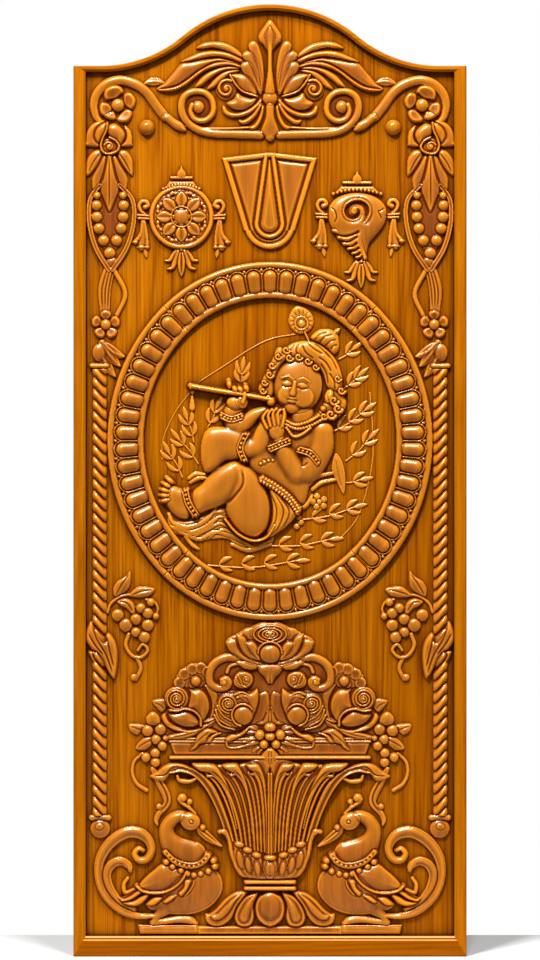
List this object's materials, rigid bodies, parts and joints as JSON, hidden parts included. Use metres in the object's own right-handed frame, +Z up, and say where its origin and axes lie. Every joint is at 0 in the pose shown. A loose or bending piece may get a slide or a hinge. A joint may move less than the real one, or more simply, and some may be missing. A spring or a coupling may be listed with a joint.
{
  "type": "carved door",
  "caption": "Carved wooden door leaf with an ogee top, hung on butt hinges in its own rebated frame and covered with planted relief carving.",
  "frame": {"origin": "middle of the sill's underside", "axes": "+X to the viewer's right, +Y from the carved face to the back, +Z up"},
  "size_m": [0.882, 0.0787, 2.136],
  "materials": {
    "frame_wood": "varnished",
    "board_wood": "varnished",
    "carved_wood": "varnished",
    "hinge_brass": "satin",
    "pin_steel": "satin"
  },
  "bodies": {
    "frame": {"left_jamb": "frame_wood", "right_jamb": "frame_wood", "left_shoulder": "frame_wood", "right_shoulder": "frame_wood", "crown": "frame_wood", "sill": "frame_wood", "bottom_frame_plate": "hinge_brass", "middle_frame_plate": "hinge_brass", "top_frame_plate": "hinge_brass", "bottom_pin": "pin_steel", "middle_pin": "pin_steel", "top_pin": "pin_steel", "frame_screws": "hinge_brass"},
    "leaf": {"board_1": "board_wood", "board_2": "board_wood", "board_3": "board_wood", "board_4": "board_wood", "board_5": "board_wood", "board_6": "board_wood", "bottom_leaf_plate": "hinge_brass", "middle_leaf_plate": "hinge_brass", "top_leaf_plate": "hinge_brass", "leaf_screws": "hinge_brass", "crest": "carved_wood", "studs": "carved_wood", "left_garland": "carved_wood", "right_garland": "carved_wood", "left_rope": "carved_wood", "right_rope": "carved_wood", "wheel": "carved_wood", "conch": "carved_wood", "shield": "carved_wood", "ring_top": "carved_wood", "ring_right": "carved_wood", "ring_bottom": "carved_wood", "ring_left": "carved_wood", "flute_child": "carved_wood", "left_grapes": "carved_wood", "right_grapes": "carved_wood", "bouquet": "carved_wood", "vase": "carved_wood", "left_swan": "carved_wood", "right_swan": "carved_wood"}
  },
  "joints": [
    {"name": "leaf_hinge", "type": "hinge", "parent": "frame", "child": "leaf", "pos_m": [-0.42075, 0.035, 1], "axis": [0, 0, 1], "range_deg": [0, 110]}
  ]
}
